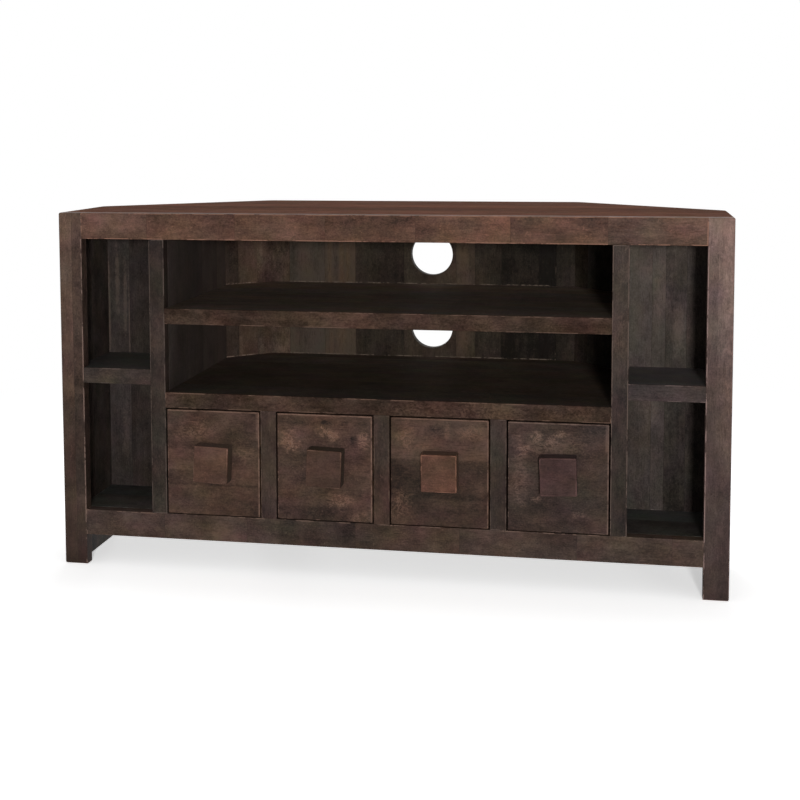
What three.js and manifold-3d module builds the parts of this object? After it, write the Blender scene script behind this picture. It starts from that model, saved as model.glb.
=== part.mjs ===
// Corner television cabinet in dark stained mango wood: a face frame in front of a carcass whose
// back corners are cut away so that it stands in the corner of a room.
// Millimetres, +Z up. X runs along the front, -Y is the front, the floor is Z 0, and the origin is
// the middle of the box that the cabinet and its knobs fill.

import * as THREE from 'three';
import { mergeVertices } from 'three/addons/utils/BufferGeometryUtils.js';
import Module from 'manifold-3d';

const wasm = await Module();
wasm.setup();

// Overall form
const cabinetWidth = 1100;
const cabinetHeight = 600;
const cabinetDepth = 450;
const returnDepth = 200;

// Softened outer edges
const edgeEase = 2.5;
const frontCornerRound = 4;
const sideCornerRound = 12;
const rearCornerRound = 26;
const arris = 1;

// Face frame
const frameThickness = 22;
const stileWidth = 40;
const columnOpening = 118;
const mullionWidth = 26;
const topRailHeight = 43.5;
const bottomRailHeight = 43;
const floorClearance = 52;
const postWidth = 26;

// Carcass boards
const topThickness = 22;
const baseThickness = 18;
const returnThickness = 22;
const diagonalThickness = 18;
const backThickness = 18;
const rearPostWidth = 42;
const partitionThickness = 18;
const columnBackThickness = 12;
const columnDepth = 165;

// Shelves
const drawerOpeningHeight = 180;
const deckThickness = 26;
const centreShelfThickness = 26;
const columnShelfThickness = 26;

// Cable holes in the back panel, a little to the right of the middle
const cableHoleRadius = 40;
const cableHoleShift = 22;
const cableHoleSides = 48;

// Drawers
const drawerCount = 4;
const drawerRearRoom = 38.5;
const drawerFrontThickness = 20;
const drawerFrontGap = 2.5;
const drawerFootGap = 1.5;
const drawerSideThickness = 12;
const drawerSideHeight = 150;
const drawerBackThickness = 12;
const drawerBackDrop = 12;
const drawerBottomThickness = 6;
const drawerBottomRise = 10;
const drawerGrooveDepth = 6;
const drawerEase = 1.5;
const runnerGap = 0.4;

// Half-blind dovetails between the drawer sides and the front
const tailCount = 4;
const tailLength = 13;
const tailFlare = 2.2;
const tailTipShare = 0.66;

// Guides beside the drawers and the rail that stops them
const guideHeight = 20;
const guidePlay = 1;
const stopRailThickness = 18;
const stopRailHeight = 20;
const stopGap = 0.8;

// Block knobs above the middle of their fronts. Each was set by eye, so it sits a little askew: its
// strays to the right and upwards are shares of its width and height.
const knobWidth = 57.5;
const knobHeight = 60.5;
const knobReach = 30;
const knobEase = 2;
const knobRise = 5;
const knobTurnDegrees = [-2.3, -2.1, 0.5, 1.6];
const knobStrayShares = [[0.07, -0.025], [0.08, 0], [0.045, 0.01], [0.025, 0.055]];
const screwRadius = 2.4;
const screwHoleRadius = 2.9;
const screwHeadRadius = 4.8;
const screwHeadHeight = 2.6;
const screwBite = 18;
const screwHoleSpare = 1.5;
const screwSides = 12;

// Clearance between pieces that meet on a slant or let into each other, and overrun of cuts
const jointGap = 0.3;
const overrun = 5;
const bevelSteps = 2;
const cornerSteps = 4;

// Places worked out from the sizes above
const frontPlane = (knobReach - cabinetDepth) / 2;
const stileInnerX = cabinetWidth / 2 - stileWidth;
const columnInnerX = stileInnerX - columnOpening;
const centreX = columnInnerX - mullionWidth;
const partitionOuterX = centreX + partitionThickness;
const returnInnerX = cabinetWidth / 2 - returnThickness;
const openingTop = cabinetHeight - topRailHeight;
const topUnderside = cabinetHeight - topThickness;
const baseTop = floorClearance + bottomRailHeight;
const deckUnderside = baseTop + drawerOpeningHeight;
const deckTop = deckUnderside + deckThickness;
const centreShelfUnderside = (deckTop + openingTop - centreShelfThickness) / 2;
const centreShelfTop = centreShelfUnderside + centreShelfThickness;
const columnShelfUnderside = (baseTop + openingTop - columnShelfThickness) / 2;
const backInnerDepth = cabinetDepth - backThickness;
const drawerOpeningWidth = (2 * centreX - (drawerCount - 1) * postWidth) / drawerCount;
const drawerPitch = drawerOpeningWidth + postWidth;

// Plan geometry. Plan points are [x, depth], with depth counted back from the front face.
// The back corners are cut at 45 degrees, so that the cabinet fits a square corner of a room.
const backWidth = cabinetWidth - 2 * (cabinetDepth - returnDepth);
const sideCorner = [cabinetWidth / 2, returnDepth];
const rearCorner = [backWidth / 2, cabinetDepth];
const diagonalRun = Math.hypot(rearCorner[0] - sideCorner[0], rearCorner[1] - sideCorner[1]);
const diagonalWay = [
  (rearCorner[0] - sideCorner[0]) / diagonalRun,
  (rearCorner[1] - sideCorner[1]) / diagonalRun,
];
const diagonalInward = [-diagonalWay[1], diagonalWay[0]];

// The point that lies a given way along the right-hand diagonal and a given distance inside it
function diagonalPoint(along, inside) {
  return [
    sideCorner[0] + diagonalWay[0] * along + diagonalInward[0] * inside,
    sideCorner[1] + diagonalWay[1] * along + diagonalInward[1] * inside,
  ];
}

// Where a line at a given distance inside the diagonal reaches an x or a depth
function diagonalAtX(x, inside) {
  const start = diagonalPoint(0, inside);
  return [x, start[1] + (diagonalWay[1] / diagonalWay[0]) * (x - start[0])];
}

function diagonalAtDepth(depth, inside) {
  const start = diagonalPoint(0, inside);
  return [start[0] + (diagonalWay[0] / diagonalWay[1]) * (depth - start[1]), depth];
}

// The drawers reach back to a named room in front of the panel that is nearest behind them
const drawerLength =
  Math.min(backInnerDepth, diagonalAtX(centreX, diagonalThickness)[1]) - drawerRearRoom;

// Half the clear width inside the carcass at a depth, limited by the diagonal panels
const diagonalInside = diagonalThickness + jointGap;

function clearHalfWidth(limit, depth) {
  return Math.min(limit, diagonalAtDepth(depth, diagonalInside)[0]);
}

// How far back a board can reach at an x, limited by the diagonal and the back panel
function clearDepth(x) {
  return Math.min(backInnerDepth, diagonalAtX(x, diagonalInside)[1]);
}

// The rear edge of a board from an outer x to an inner one, bent where those two panels meet
function rearEdge(outerX, innerX) {
  const bendX = diagonalAtDepth(backInnerDepth, diagonalInside)[0];
  const bend = bendX > innerX && bendX < outerX ? [[bendX, backInnerDepth]] : [];
  return [[outerX, clearDepth(outerX)], ...bend, [innerX, clearDepth(innerX)]];
}

// Half the plan of a board that is the same on both sides and fills the carcass out to an x
function halfFloorPlan(outerX, frontDepth) {
  return [[outerX, frontDepth], ...rearEdge(outerX, 0).slice(0, -1)];
}

function mirrored(points) {
  return points.map(([x, depth]) => [-x, depth]).reverse();
}

// Right-hand points followed by their mirror images, for outlines that are the same on both sides
function bothSides(points) {
  return [...points, ...mirrored(points)];
}

// Solids
function toSolid(geometry) {
  const bare = geometry.clone();
  bare.deleteAttribute('normal');
  bare.deleteAttribute('uv');
  const merged = mergeVertices(bare);
  return new wasm.Manifold(
    new wasm.Mesh({
      numProp: 3,
      vertProperties: new Float32Array(merged.attributes.position.array),
      triVerts: new Uint32Array(merged.index.array),
    }),
  );
}

function toGeometry(solid) {
  const mesh = solid.getMesh();
  const geometry = new THREE.BufferGeometry();
  geometry.setAttribute('position', new THREE.BufferAttribute(mesh.vertProperties, mesh.numProp));
  geometry.setIndex(new THREE.BufferAttribute(mesh.triVerts, 1));
  geometry.computeVertexNormals();
  return geometry;
}

// A closed outline whose corners are rounded, each with its own radius
function roundedShape(points, radii) {
  const shape = new THREE.Shape();
  points.forEach(([x, y], index) => {
    const before = points[(index + points.length - 1) % points.length];
    const after = points[(index + 1) % points.length];
    const corner = new THREE.Vector2(x, y);
    const back = new THREE.Vector2(before[0], before[1]).sub(corner);
    const ahead = new THREE.Vector2(after[0], after[1]).sub(corner);
    const halfAngle = Math.abs(back.angle() - ahead.angle()) / 2;
    const reach = radii[index] / Math.abs(Math.tan(halfAngle));
    const start = corner.clone().addScaledVector(back.normalize(), reach);
    const end = corner.clone().addScaledVector(ahead.normalize(), reach);
    if (index === 0) shape.moveTo(start.x, start.y);
    else shape.lineTo(start.x, start.y);
    if (radii[index] > 0) shape.quadraticCurveTo(x, y, end.x, end.y);
  });
  shape.closePath();
  return shape;
}

function sameRadius(points, radius) {
  return points.map(() => radius);
}

// A plan outline raised from one height to another, with its upper and lower edges eased
function planBoard(points, bottom, top, ease = 0, radii = sameRadius(points, 0)) {
  const outline = points.map(([x, depth]) => [x, frontPlane + depth]);
  const geometry = new THREE.ExtrudeGeometry(roundedShape(outline, radii), {
    depth: top - bottom - 2 * ease,
    bevelEnabled: ease > 0,
    bevelThickness: ease,
    bevelSize: ease,
    bevelOffset: -ease,
    bevelSegments: bevelSteps,
    curveSegments: cornerSteps,
  });
  geometry.translate(0, 0, bottom + ease);
  return toSolid(geometry);
}

// A straight board given by its ranges in x, depth and z. Its long edges are eased, its ends square.
const axisTurns = {
  x: new THREE.Matrix4().set(0, 0, 1, 0, 1, 0, 0, 0, 0, 1, 0, 0, 0, 0, 0, 1),
  y: new THREE.Matrix4().set(0, 1, 0, 0, 0, 0, 1, 0, 1, 0, 0, 0, 0, 0, 0, 1),
  z: new THREE.Matrix4(),
};
const profileAxes = { x: ['y', 'z'], y: ['z', 'x'], z: ['x', 'y'] };

function board(along, x, depth, z, ease = arris) {
  const ranges = { x, y: depth.map((value) => frontPlane + value), z };
  const [u, v] = profileAxes[along].map((axis) => ranges[axis]);
  const corners = [[u[0], v[0]], [u[1], v[0]], [u[1], v[1]], [u[0], v[1]]];
  const shape = roundedShape(corners, sameRadius(corners, ease));
  const [start, end] = ranges[along];
  const geometry = new THREE.ExtrudeGeometry(shape, {
    depth: end - start,
    bevelEnabled: false,
    curveSegments: bevelSteps,
  });
  geometry.translate(0, 0, start);
  geometry.applyMatrix4(axisTurns[along]);
  return toSolid(geometry);
}

// A round bar or cut along Y, from one depth to another
function roundBar(x, z, depths, radius, sides) {
  const length = depths[1] - depths[0];
  const geometry = new THREE.CylinderGeometry(radius, radius, length, sides);
  geometry.translate(x, frontPlane + depths[0] + length / 2, z);
  return toSolid(geometry);
}

// The whole cabinet's softened outline. Every outer board is trimmed to it.
const outerPlan = bothSides([[cabinetWidth / 2, 0], sideCorner, rearCorner]);
const outerRadii = [
  frontCornerRound, sideCornerRound, rearCornerRound,
  rearCornerRound, sideCornerRound, frontCornerRound,
];
const envelope = planBoard(outerPlan, 0, cabinetHeight, edgeEase, outerRadii);

const cabinet = new THREE.Group();

const finishes = {
  top: { color: 0x5c4032, roughness: 0.42 },
  frame: { color: 0x463a35, roughness: 0.5 },
  rail: { color: 0x4a3a32, roughness: 0.5 },
  front: { color: 0x4b3a31, roughness: 0.48 },
  knob: { color: 0x543a30, roughness: 0.45 },
  inside: { color: 0x3a322e, roughness: 0.6 },
  drawerBox: { color: 0x6a5240, roughness: 0.65 },
  screw: { color: 0x8c8a86, roughness: 0.35, metalness: 1 },
};

function addPiece(name, solid, finish) {
  const material = new THREE.MeshStandardMaterial({ metalness: 0, ...finishes[finish] });
  const mesh = new THREE.Mesh(toGeometry(solid), material);
  mesh.name = name;
  cabinet.add(mesh);
}

const sides = [['left', -1], ['right', 1]];

// A range of x on one side of the cabinet, in rising order
function sideRange(sign, near, far) {
  return [sign * near, sign * far].sort((a, b) => a - b);
}

function sidePlan(sign, points) {
  return sign > 0 ? points : mirrored(points);
}

// Face frame
const frameDepths = [0, frameThickness];

function addFaceFrame() {
  const railX = [-stileInnerX, stileInnerX];
  const topRail = board('x', railX, frameDepths, [openingTop, cabinetHeight]);
  addPiece('front_top_rail', topRail.intersect(envelope), 'rail');
  const bottomRail = board('x', railX, frameDepths, [floorClearance, baseTop]);
  addPiece('front_bottom_rail', bottomRail, 'rail');
  for (const [side, sign] of sides) {
    const stileX = sideRange(sign, stileInnerX, cabinetWidth / 2);
    const stile = board('z', stileX, frameDepths, [0, cabinetHeight]);
    addPiece(`front_stile_${side}`, stile.intersect(envelope), 'frame');
    const mullionX = sideRange(sign, centreX, columnInnerX);
    addPiece(`mullion_${side}`, board('z', mullionX, frameDepths, [baseTop, openingTop]), 'frame');
  }
}

// Posts between the drawers, each with a guide behind it, and the rail that stops the drawers
function addDrawerFraming() {
  const stopDepth = drawerLength + stopGap;
  for (let index = 1; index < drawerCount; index += 1) {
    const left = -centreX + index * drawerPitch - postWidth;
    const postX = [left, left + postWidth];
    const post = board('z', postX, frameDepths, [baseTop, deckUnderside]);
    addPiece(`drawer_post_${index}`, post, 'frame');
    const reach = drawerFrontGap - guidePlay;
    const guideX = [postX[0] - reach, postX[1] + reach];
    const guideDepths = [frameThickness, stopDepth];
    const guide = board('y', guideX, guideDepths, [baseTop, baseTop + guideHeight], 0);
    addPiece(`drawer_guide_${index}`, guide, 'inside');
  }
  const stopBackDepth = stopDepth + stopRailThickness;
  const halfWidth = clearHalfWidth(centreX, stopBackDepth);
  const stopZ = [baseTop, baseTop + stopRailHeight];
  const stopRail = board('x', [-halfWidth, halfWidth], [stopDepth, stopBackDepth], stopZ, 0);
  addPiece('drawer_stop_rail', stopRail, 'inside');
}

// Straight side panels that stand on the floor behind the stiles, mitred to the diagonal panels
function addReturns() {
  const innerCorner = diagonalAtX(returnInnerX, diagonalThickness);
  for (const [side, sign] of sides) {
    const plan = sidePlan(sign, [
      [returnInnerX, frameThickness],
      [cabinetWidth / 2, frameThickness],
      sideCorner,
      innerCorner,
    ]);
    const panel = planBoard(plan, 0, topUnderside);
    addPiece(`side_return_${side}`, panel.intersect(envelope), 'frame');
  }
}

// Diagonal panels between the mitre and the rear posts
function addDiagonals() {
  const inner = diagonalAtX(returnInnerX, diagonalThickness);
  const mitreStep = diagonalWay.map((share) => share * jointGap);
  const end = diagonalRun - rearPostWidth - jointGap;
  for (const [side, sign] of sides) {
    const plan = sidePlan(sign, [
      [sideCorner[0] + mitreStep[0], sideCorner[1] + mitreStep[1]],
      diagonalPoint(end, 0),
      diagonalPoint(end, diagonalThickness),
      [inner[0] + mitreStep[0], inner[1] + mitreStep[1]],
    ]);
    const panel = planBoard(plan, floorClearance, topUnderside);
    addPiece(`diagonal_panel_${side}`, panel.intersect(envelope), 'frame');
  }
}

// Bent corner posts, one at each end of the back panel, that run down as the rear feet
function addRearPosts() {
  const along = diagonalRun - rearPostWidth;
  const postX = rearCorner[0] - rearPostWidth;
  for (const [side, sign] of sides) {
    const plan = sidePlan(sign, [
      diagonalPoint(along, 0),
      rearCorner,
      [postX, cabinetDepth],
      [postX, backInnerDepth],
      diagonalAtDepth(backInnerDepth, diagonalThickness),
      diagonalPoint(along, diagonalThickness),
    ]);
    const post = planBoard(plan, 0, topUnderside);
    addPiece(`rear_post_${side}`, post.intersect(envelope), 'frame');
  }
}

// Back panel with one cable hole for each long bay
function addBackPanel() {
  const halfWidth = rearCorner[0] - rearPostWidth;
  const depths = [backInnerDepth, cabinetDepth];
  let panel = board('z', [-halfWidth, halfWidth], depths, [floorClearance, topUnderside]);
  const cutDepths = [backInnerDepth - overrun, cabinetDepth + overrun];
  const holeHeights = [(deckTop + centreShelfUnderside) / 2, (centreShelfTop + openingTop) / 2];
  for (const height of holeHeights) {
    const hole = roundBar(cableHoleShift, height, cutDepths, cableHoleRadius, cableHoleSides);
    panel = panel.subtract(hole);
  }
  addPiece('back_panel', panel, 'inside');
}

// Partitions behind the mullions, cut on a slant where they meet the diagonal panels
function addPartitions() {
  for (const [side, sign] of sides) {
    const plan = sidePlan(sign, [
      [centreX, frameThickness],
      [partitionOuterX, frameThickness],
      ...rearEdge(partitionOuterX, centreX),
    ]);
    addPiece(`partition_${side}`, planBoard(plan, baseTop, topUnderside), 'inside');
  }
}

// Shallow backs of the side columns, parallel to the front
function addColumnBacks() {
  const depths = [columnDepth, columnDepth + columnBackThickness];
  const outerX = clearHalfWidth(returnInnerX, depths[1]);
  for (const [side, sign] of sides) {
    const panelX = sideRange(sign, partitionOuterX, outerX);
    addPiece(`column_back_${side}`, board('z', panelX, depths, [baseTop, topUnderside], 0), 'inside');
  }
}

// Column shelves: a tongue fills the opening in the frame, and the rest widens behind it
function addColumnShelves() {
  const outerX = clearHalfWidth(returnInnerX, columnDepth);
  for (const [side, sign] of sides) {
    const plan = sidePlan(sign, [
      [columnInnerX, 0],
      [stileInnerX, 0],
      [stileInnerX, frameThickness],
      [outerX, frameThickness],
      [outerX, columnDepth],
      [partitionOuterX, columnDepth],
      [partitionOuterX, frameThickness],
      [columnInnerX, frameThickness],
    ]);
    const top = columnShelfUnderside + columnShelfThickness;
    addPiece(`column_shelf_${side}`, planBoard(plan, columnShelfUnderside, top, arris), 'frame');
  }
}

// Boards of the centre, with the front edge flush in the frame and the far corners cut away
function addCentreBoards() {
  const plan = bothSides(halfFloorPlan(centreX, 0));
  addPiece('deck_board', planBoard(plan, deckUnderside, deckTop, arris), 'rail');
  const shelf = planBoard(plan, centreShelfUnderside, centreShelfTop, arris);
  addPiece('centre_shelf', shelf, 'rail');
}

function addBaseAndTop() {
  const basePlan = bothSides(halfFloorPlan(returnInnerX, frameThickness));
  addPiece('base_panel', planBoard(basePlan, baseTop - baseThickness, baseTop), 'inside');
  const topPlan = bothSides([[cabinetWidth / 2, frameThickness], sideCorner, rearCorner]);
  const top = planBoard(topPlan, topUnderside, cabinetHeight);
  addPiece('top_panel', top.intersect(envelope), 'top');
}

// One drawer, its pieces placed from its own opening
const drawerFloorZ = baseTop + runnerGap;
const frontBottomZ = baseTop + drawerFootGap;
const frontTopZ = deckUnderside - drawerFrontGap;
const sideTopZ = drawerFloorZ + drawerSideHeight;
const bottomPanelZ = drawerFloorZ + drawerBottomRise;
const bottomPanelTopZ = bottomPanelZ + drawerBottomThickness;
const knobZ = (frontBottomZ + frontTopZ) / 2 + knobRise;

function drawerRange(index) {
  const left = -centreX + index * drawerPitch + drawerFrontGap;
  return [left, left + drawerOpeningWidth - 2 * drawerFrontGap];
}

// The middle of a drawer's knob, where its screw goes through the front
function knobCentre(index) {
  const x = drawerRange(index);
  const [right, up] = knobStrayShares[index];
  return [(x[0] + x[1]) / 2 + right * knobWidth, knobZ + up * knobHeight];
}

// Dovetails seen from the side, wider at their tips, grown all round by a clearance for the sockets
function tailSolid(x, clearance) {
  const pitch = drawerSideHeight / tailCount;
  const tipHalf = (pitch * tailTipShare) / 2 + clearance;
  const rootHalf = tipHalf - tailFlare;
  const tipDepth = drawerFrontThickness - tailLength - clearance;
  const rootDepth = drawerFrontThickness + overrun;
  const solids = [];
  for (let index = 0; index < tailCount; index += 1) {
    const middle = drawerFloorZ + pitch * (index + 1 / 2);
    const shape = new THREE.Shape([
      new THREE.Vector2(frontPlane + tipDepth, middle - tipHalf),
      new THREE.Vector2(frontPlane + drawerFrontThickness, middle - rootHalf),
      new THREE.Vector2(frontPlane + rootDepth, middle - rootHalf),
      new THREE.Vector2(frontPlane + rootDepth, middle + rootHalf),
      new THREE.Vector2(frontPlane + drawerFrontThickness, middle + rootHalf),
      new THREE.Vector2(frontPlane + tipDepth, middle + tipHalf),
    ]);
    const geometry = new THREE.ExtrudeGeometry(shape, { depth: x[1] - x[0], bevelEnabled: false });
    geometry.translate(0, 0, x[0]);
    geometry.applyMatrix4(axisTurns.x);
    solids.push(toSolid(geometry));
  }
  return solids.reduce((joined, tail) => joined.add(tail));
}

function bottomCut(x, depths) {
  const z = [bottomPanelZ - jointGap, bottomPanelTopZ + jointGap];
  return board('x', x, depths, z, 0);
}

function drawerFront(x, sideX, screwCentre) {
  const outline = [
    [x[0], frontBottomZ], [x[1], frontBottomZ],
    [x[1], frontTopZ], [x[0], frontTopZ],
  ];
  const geometry = new THREE.ExtrudeGeometry(roundedShape(outline, sameRadius(outline, drawerEase)), {
    depth: drawerFrontThickness - 2 * drawerEase,
    bevelEnabled: true,
    bevelThickness: drawerEase,
    bevelSize: drawerEase / 2,
    bevelOffset: -drawerEase / 2,
    bevelSegments: bevelSteps,
    curveSegments: bevelSteps,
  });
  geometry.rotateX(Math.PI / 2);
  geometry.translate(0, frontPlane + drawerFrontThickness - drawerEase, 0);
  let front = toSolid(geometry);
  for (const range of sideX) {
    const past = range === sideX[0]
      ? [range[0] - overrun, range[1] + jointGap]
      : [range[0] - jointGap, range[1] + overrun];
    front = front.subtract(tailSolid(past, jointGap));
  }
  const grooveX = [sideX[0][1], sideX[1][0]];
  const grooveDepths = [drawerFrontThickness - drawerGrooveDepth, drawerFrontThickness + overrun];
  front = front.subtract(bottomCut(grooveX, grooveDepths));
  const holeDepths = [-overrun, drawerFrontThickness + overrun];
  return front.subtract(roundBar(...screwCentre, holeDepths, screwHoleRadius, screwSides));
}

function drawerSide(range, inner) {
  const depths = [drawerFrontThickness, drawerLength];
  const wall = board('y', range, depths, [drawerFloorZ, sideTopZ], 0);
  const grooveX = [inner - drawerGrooveDepth, inner + drawerGrooveDepth];
  const groove = bottomCut(grooveX, [drawerFrontThickness, drawerLength + overrun]);
  return wall.add(tailSolid(range, 0)).subtract(groove);
}

function drawerBottom(sideX) {
  const inset = drawerGrooveDepth - jointGap;
  const wide = [sideX[0][1] - inset, sideX[1][0] + inset];
  const narrow = [sideX[0][1] + 2 * jointGap, sideX[1][0] - 2 * jointGap];
  const tongueDepth = drawerFrontThickness - inset;
  const shoulderDepth = drawerFrontThickness + jointGap;
  const plan = [
    [narrow[0], tongueDepth], [narrow[1], tongueDepth],
    [narrow[1], shoulderDepth], [wide[1], shoulderDepth],
    [wide[1], drawerLength], [wide[0], drawerLength],
    [wide[0], shoulderDepth], [narrow[0], shoulderDepth],
  ];
  return planBoard(plan, bottomPanelZ, bottomPanelTopZ);
}

function knob(centre, turn) {
  const [right, top] = [knobWidth / 2, knobHeight / 2];
  const outline = [[-right, -top], [right, -top], [right, top], [-right, top]];
  const geometry = new THREE.ExtrudeGeometry(roundedShape(outline, sameRadius(outline, knobEase)), {
    depth: knobReach - 2 * knobEase,
    bevelEnabled: true,
    bevelThickness: knobEase,
    bevelSize: knobEase / 2,
    bevelOffset: -knobEase / 2,
    bevelSegments: bevelSteps,
    curveSegments: bevelSteps,
  });
  geometry.translate(0, 0, knobEase);
  geometry.rotateZ(THREE.MathUtils.degToRad(turn));
  geometry.rotateX(Math.PI / 2);
  geometry.translate(centre[0], frontPlane, centre[1]);
  const holeDepths = [-screwBite - screwHoleSpare, overrun];
  return toSolid(geometry).subtract(
    roundBar(...centre, holeDepths, screwHoleRadius, screwSides),
  );
}

function knobScrew(centre) {
  const headDepths = [drawerFrontThickness, drawerFrontThickness + screwHeadHeight];
  const shankDepths = [-screwBite, drawerFrontThickness + screwHeadHeight / 2];
  const shank = roundBar(...centre, shankDepths, screwRadius, screwSides);
  return shank.add(roundBar(...centre, headDepths, screwHeadRadius, screwSides));
}

function addDrawer(index) {
  const name = `drawer_${index + 1}`;
  const x = drawerRange(index);
  const sideX = [
    [x[0], x[0] + drawerSideThickness],
    [x[1] - drawerSideThickness, x[1]],
  ];
  const centre = knobCentre(index);
  addPiece(`${name}_front`, drawerFront(x, sideX, centre), 'front');
  addPiece(`${name}_side_left`, drawerSide(sideX[0], sideX[0][1]), 'drawerBox');
  addPiece(`${name}_side_right`, drawerSide(sideX[1], sideX[1][0]), 'drawerBox');
  const backDepths = [drawerLength - drawerBackThickness, drawerLength];
  const backZ = [bottomPanelTopZ, sideTopZ - drawerBackDrop];
  const back = board('x', [sideX[0][1], sideX[1][0]], backDepths, backZ, 0);
  addPiece(`${name}_back`, back, 'drawerBox');
  addPiece(`${name}_bottom`, drawerBottom(sideX), 'drawerBox');
  addPiece(`${name}_knob`, knob(centre, knobTurnDegrees[index]), 'knob');
  addPiece(`${name}_knob_screw`, knobScrew(centre), 'screw');
}

addBaseAndTop();
addFaceFrame();
addDrawerFraming();
addReturns();
addDiagonals();
addRearPosts();
addBackPanel();
addPartitions();
addColumnBacks();
addColumnShelves();
addCentreBoards();
for (let index = 0; index < drawerCount; index += 1) {
  addDrawer(index);
}

export default cabinet;
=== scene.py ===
# %% [markdown]
# # A corner television cabinet in dark stained mango wood
#
# The cabinet is loaded as finished solids: boards, rails, drawers and knobs, each in its own
# place. What is left is its look. The real one is mango wood, glued up from short staves,
# stained nearly black and lacquered to a low satin. The stain takes unevenly, so every stave
# has its own tone, burls stay tan, and the edges are rubbed pale by use.
#
# Each piece gets its own finish from one recipe of shader nodes, so that no two boards repeat.
# The recipe is solid wood: its patterns run through the board, so a face and the edge beside it
# always fit.

import math
import random

import bpy
from mathutils import Matrix, Vector


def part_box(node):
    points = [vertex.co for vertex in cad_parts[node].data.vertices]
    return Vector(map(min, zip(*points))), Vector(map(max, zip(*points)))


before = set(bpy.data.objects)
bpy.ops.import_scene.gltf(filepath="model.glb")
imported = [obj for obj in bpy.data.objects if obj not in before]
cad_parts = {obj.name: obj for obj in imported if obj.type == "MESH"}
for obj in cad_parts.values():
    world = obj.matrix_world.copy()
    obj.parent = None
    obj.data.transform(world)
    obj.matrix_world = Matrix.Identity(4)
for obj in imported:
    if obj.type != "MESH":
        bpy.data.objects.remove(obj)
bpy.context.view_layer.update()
print("solids:", len(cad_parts))

# %% [markdown]
# ## Colours
#
# Stain colours are judged on a screen, in steps from 0 to 255, while the shader works with
# amounts of light. One small function turns the first into the second, so the rest of the
# lesson can name colours as they look.


# %% Screen colours turned into light
def screen(red, green, blue):
    """A colour as it looks on screen, as amounts of light with full opacity."""
    shares = [step / 255 for step in (red, green, blue)]
    light = [s / 12.92 if s <= 0.04045 else ((s + 0.055) / 1.055) ** 2.4 for s in shares]
    return (*light, 1.0)


def toned(colour, share):
    """A colour made darker or lighter by a share of its light."""
    return (*(min(channel * share, 1.0) for channel in colour[:3]), 1.0)


MID_STAIN = screen(70, 56, 49)
print("mid stain:", [round(channel, 3) for channel in MID_STAIN])
print("twice as light:", [round(channel, 3) for channel in toned(MID_STAIN, 2.0)])

# %% [markdown]
# ## Writing shader maths
#
# Wood needs a lot of arithmetic on patterns. Placing every Math node by hand hides what is
# meant, so a Flow wraps one socket and lets plain sums and products add the nodes. A Finish
# holds one material and has a single way to add any other kind of node: its type, then its
# settings, then what goes into its sockets.


# %% Flow: one value on its way through a finish
class Flow:
    def __init__(self, finish, socket):
        self.finish = finish
        self.socket = socket

    def math(self, operation, *others):
        inputs = dict(enumerate((self, *others)))
        return self.finish.add("ShaderNodeMath", {"operation": operation}, inputs)

    def __add__(self, other):
        return self.math("ADD", other)

    def __sub__(self, other):
        return self.math("SUBTRACT", other)

    def __rsub__(self, other):
        return self.math("MULTIPLY_ADD", -1.0, other)

    def __mul__(self, other):
        return self.math("MULTIPLY", other)

    def __truediv__(self, other):
        return self.math("DIVIDE", other)

    __radd__ = __add__
    __rmul__ = __mul__


# %% Finish: one material and the nodes in it
class Finish:
    def __init__(self, name):
        self.material = bpy.data.materials.new(name)
        self.material.use_nodes = True
        self.tree = self.material.node_tree
        self.shader = self.tree.nodes["Principled BSDF"]

    def add(self, kind, settings=None, inputs=None, output=0):
        node = self.tree.nodes.new(kind)
        for name, value in (settings or {}).items():
            if name == "stops":
                self.set_stops(node.color_ramp, value)
            elif name == "steps":
                node.color_ramp.interpolation = value
            else:
                setattr(node, name, value)
        for name, value in (inputs or {}).items():
            self.fill(node.inputs[name], value)
        return Flow(self, node.outputs[output])

    def fill(self, socket, value):
        if isinstance(value, Flow):
            self.tree.links.new(value.socket, socket)
        else:
            socket.default_value = value

    def set_stops(self, ramp, stops):
        while len(ramp.elements) < len(stops):
            ramp.elements.new(1.0)
        for element, (position, colour) in zip(ramp.elements, stops):
            element.position = position
            element.color = colour

    def feed(self, **sockets):
        for name, value in sockets.items():
            self.fill(self.shader.inputs[name.replace("_", " ")], value)

    def vector(self, operation, *values, output=0):
        inputs = dict(enumerate(values))
        return self.add("ShaderNodeVectorMath", {"operation": operation}, inputs, output)

    def split(self, place):
        parts = self.add("ShaderNodeSeparateXYZ", inputs={0: place})
        outputs = parts.socket.node.outputs
        return [Flow(self, outputs[index]) for index in range(3)]

    def join(self, *parts):
        return self.add("ShaderNodeCombineXYZ", inputs=dict(enumerate(parts)))

    def ramp(self, value, stops, steps="LINEAR"):
        return self.add("ShaderNodeValToRGB", {"steps": steps, "stops": stops}, {0: value})

    def blend(self, share, first, second):
        settings = {"data_type": "RGBA", "blend_type": "MIX"}
        return self.add("ShaderNodeMix", settings, {0: share, 6: first, 7: second}, 2)

    def fade(self, value, start, end):
        """0 before start and 1 after end, softly between. It falls if end comes first."""
        settings = {"interpolation_type": "SMOOTHSTEP"}
        return self.add("ShaderNodeMapRange", settings, {0: value, 1: start, 2: end})

    def noise(self, place, stretch, detail=2.0, roughness=0.5, distortion=0.0, output=0):
        """Smooth noise, stretched by its number of patches per metre along each axis."""
        inputs = {
            "Vector": self.vector("MULTIPLY", place, stretch), "Scale": 1.0, "Detail": detail,
            "Roughness": roughness, "Distortion": distortion,
        }
        return self.add("ShaderNodeTexNoise", inputs=inputs, output=output)


print("ways to write a finish:", [name for name in vars(Finish) if not name.startswith("_")])

# %% [markdown]
# ## The grain of a board
#
# A tree grows in long fibres, so every pattern in wood is stretched along the board. The
# finish therefore reads the piece's own coordinates in the order along, across and through the
# board, and every board starts from another spot of an endless log.

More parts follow.
